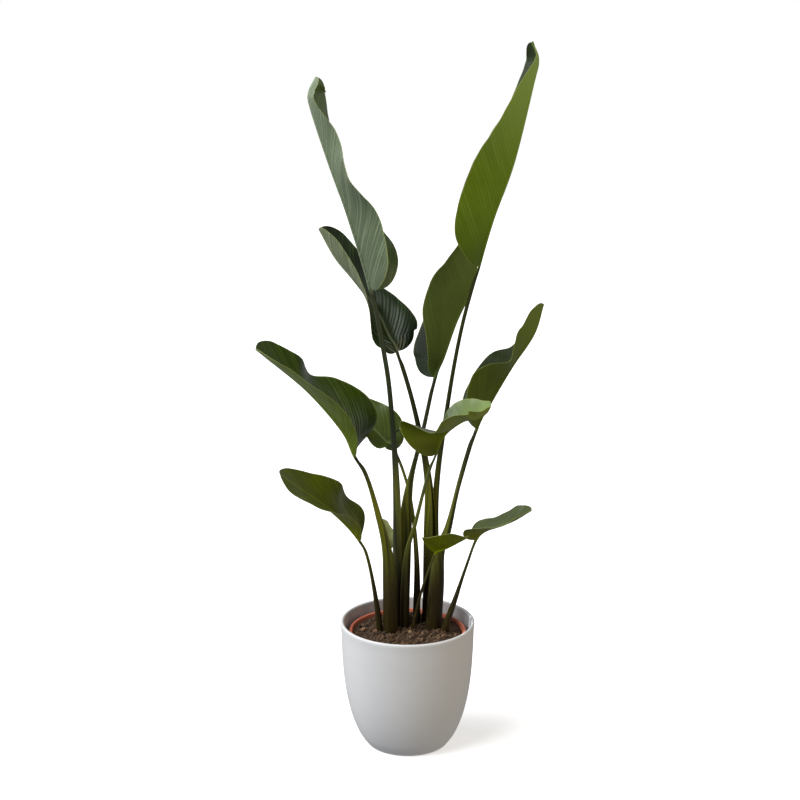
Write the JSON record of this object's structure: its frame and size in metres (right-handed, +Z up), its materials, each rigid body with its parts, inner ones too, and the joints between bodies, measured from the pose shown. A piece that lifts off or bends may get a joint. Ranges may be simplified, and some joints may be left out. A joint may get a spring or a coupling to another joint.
{
  "type": "potted bird of paradise plant",
  "caption": "Bird of paradise house plant: tall folded paddle leaves on channelled stalks in one clump, rooted in a nursery pot that stands in a round white cover pot.",
  "frame": {"origin": "centre of the cover pot's foot, on the surface that it stands on", "axes": "+Z up along the pot's axis, -Y towards the front of the plant as pictured, +X to its right"},
  "size_m": [0.4541, 0.278, 1.1514],
  "materials": {
    "glaze_white": "satin",
    "terracotta_plastic": "satin",
    "potting_bark": "matte",
    "leaf_grey_green": "satin",
    "leaf_green": "satin",
    "leaf_dark_green": "satin",
    "leaf_young_green": "satin"
  },
  "bodies": {
    "root": {"cover_pot": "glaze_white", "nursery_pot": "terracotta_plastic", "soil": "potting_bark", "leaf_tall_left": "leaf_grey_green", "leaf_upper_left": "leaf_grey_green", "leaf_tall_right": "leaf_young_green", "leaf_upper_right": "leaf_green", "leaf_middle_left": "leaf_dark_green", "leaf_low_left": "leaf_dark_green", "leaf_centre": "leaf_young_green", "leaf_middle_right": "leaf_green", "leaf_back_left": "leaf_green", "leaf_low_right": "leaf_green", "leaf_small_front": "leaf_green", "leaf_small_back": "leaf_young_green"}
  },
  "joints": []
}
